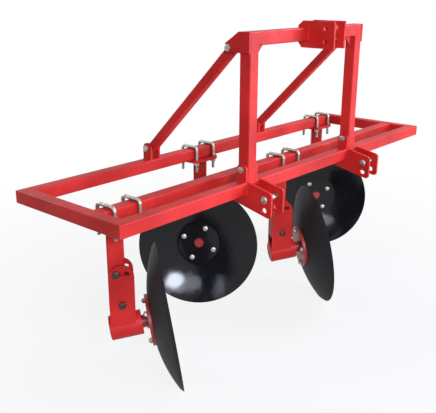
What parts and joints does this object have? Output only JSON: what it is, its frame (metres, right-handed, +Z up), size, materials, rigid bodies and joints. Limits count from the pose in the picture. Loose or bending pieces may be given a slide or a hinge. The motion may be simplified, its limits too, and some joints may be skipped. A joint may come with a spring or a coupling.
{
  "type": "mounted disc ridger",
  "caption": "Tractor-mounted ridging machine: red square-tube frame with a tractor hitch mast, carrying angled concave black discs on clamped, tilting hangers.",
  "frame": {"origin": "on the ground, midway between the frame's ends and between the front and rear discs' rims", "axes": "+X along the beams to the right seen from behind the tractor side, +Y backwards from the tractor, +Z up"},
  "size_m": [2.1, 0.8154, 1.2878],
  "materials": {
    "red_paint": "gloss red enamel on steel",
    "black_gloss": "gloss black enamel on pressed steel",
    "zinc_plate": "bright zinc plate",
    "bearing_steel": "ground bearing steel"
  },
  "bodies": {
    "frame": {"front_beam": "red_paint", "rear_beam": "red_paint", "tool_beam": "red_paint", "left_end_tube": "red_paint", "right_end_tube": "red_paint", "left_upright": "red_paint", "right_upright": "red_paint", "mast_top_bar": "red_paint", "mast_corner_gussets": "red_paint", "upright_foot_lugs": "red_paint", "brace_foot_lugs": "red_paint", "brace_head_plates": "red_paint", "left_brace": "red_paint", "right_brace": "red_paint", "mast_bolts": "zinc_plate", "mast_nuts": "zinc_plate", "top_link_plates": "red_paint", "left_lower_link_plates": "red_paint", "right_lower_link_plates": "red_paint", "hitch_pins": "zinc_plate"},
    "left_front_clamp": {"left_front_shank": "red_paint", "left_front_u_bolts": "zinc_plate", "left_front_hanger_bolts": "zinc_plate"},
    "left_front_hanger": {"left_front_hanger": "red_paint", "left_front_bearings": "bearing_steel", "left_front_bearing_cap": "red_paint"},
    "left_front_disc": {"left_front_disc": "black_gloss", "left_front_axle": "red_paint", "left_front_axle_nut": "zinc_plate", "left_front_disc_bolts": "zinc_plate"},
    "right_front_clamp": {"right_front_shank": "red_paint", "right_front_u_bolts": "zinc_plate", "right_front_hanger_bolts": "zinc_plate"},
    "right_front_hanger": {"right_front_hanger": "red_paint", "right_front_bearings": "bearing_steel", "right_front_bearing_cap": "red_paint"},
    "right_front_disc": {"right_front_disc": "black_gloss", "right_front_axle": "red_paint", "right_front_axle_nut": "zinc_plate", "right_front_disc_bolts": "zinc_plate"},
    "left_rear_clamp": {"left_rear_shank": "red_paint", "left_rear_u_bolts": "zinc_plate", "left_rear_hanger_bolts": "zinc_plate"},
    "left_rear_hanger": {"left_rear_hanger": "red_paint", "left_rear_bearings": "bearing_steel", "left_rear_bearing_cap": "red_paint"},
    "left_rear_disc": {"left_rear_disc": "black_gloss", "left_rear_axle": "red_paint", "left_rear_axle_nut": "zinc_plate", "left_rear_disc_bolts": "zinc_plate"},
    "right_rear_clamp": {"right_rear_shank": "red_paint", "right_rear_u_bolts": "zinc_plate", "right_rear_hanger_bolts": "zinc_plate"},
    "right_rear_hanger": {"right_rear_hanger": "red_paint", "right_rear_bearings": "bearing_steel", "right_rear_bearing_cap": "red_paint"},
    "right_rear_disc": {"right_rear_disc": "black_gloss", "right_rear_axle": "red_paint", "right_rear_axle_nut": "zinc_plate", "right_rear_disc_bolts": "zinc_plate"}
  },
  "joints": [
    {"name": "left_front_clamp_slide", "type": "slide", "parent": "frame", "child": "left_front_clamp", "axis": [1, 0, 0], "range_m": [-0.02, 0.15]},
    {"name": "left_front_tilt", "type": "hinge", "parent": "left_front_clamp", "child": "left_front_hanger", "pos_m": [-0.91277, -0.08722, 0.34792], "axis": [-0.6293, -0.7771, 0], "range_deg": [0, 19]},
    {"name": "left_front_disc_spin", "type": "hinge", "parent": "left_front_hanger", "child": "left_front_disc", "pos_m": [-0.90267, -0.0954, 0.24892], "axis": [0.7686, -0.6224, 0.1478], "continuous": true},
    {"name": "right_front_clamp_slide", "type": "slide", "parent": "frame", "child": "right_front_clamp", "axis": [1, 0, 0], "range_m": [-0.02, 0.15]},
    {"name": "right_front_tilt", "type": "hinge", "parent": "right_front_clamp", "child": "right_front_hanger", "pos_m": [0.04623, -0.08722, 0.34792], "axis": [-0.6293, -0.7771, 0], "range_deg": [0, 19]},
    {"name": "right_front_disc_spin", "type": "hinge", "parent": "right_front_hanger", "child": "right_front_disc", "pos_m": [0.05633, -0.0954, 0.24892], "axis": [0.7686, -0.6224, 0.1478], "continuous": true},
    {"name": "left_rear_clamp_slide", "type": "slide", "parent": "frame", "child": "left_rear_clamp", "axis": [1, 0, 0], "range_m": [-0.15, 0.02]},
    {"name": "left_rear_tilt", "type": "hinge", "parent": "left_rear_clamp", "child": "left_rear_hanger", "pos_m": [-0.07923, 0.29778, 0.34792], "axis": [-0.6293, 0.7771, 0], "range_deg": [0, 19]},
    {"name": "left_rear_disc_spin", "type": "hinge", "parent": "left_rear_hanger", "child": "left_rear_disc", "pos_m": [-0.08933, 0.2896, 0.24892], "axis": [-0.7686, -0.6224, 0.1478], "continuous": true},
    {"name": "right_rear_clamp_slide", "type": "slide", "parent": "frame", "child": "right_rear_clamp", "axis": [1, 0, 0], "range_m": [-0.15, 0.01]},
    {"name": "right_rear_tilt", "type": "hinge", "parent": "right_rear_clamp", "child": "right_rear_hanger", "pos_m": [0.92777, 0.29778, 0.34792], "axis": [-0.6293, 0.7771, 0], "range_deg": [0, 19]},
    {"name": "right_rear_disc_spin", "type": "hinge", "parent": "right_rear_hanger", "child": "right_rear_disc", "pos_m": [0.91767, 0.2896, 0.24892], "axis": [-0.7686, -0.6224, 0.1478], "continuous": true}
  ]
}
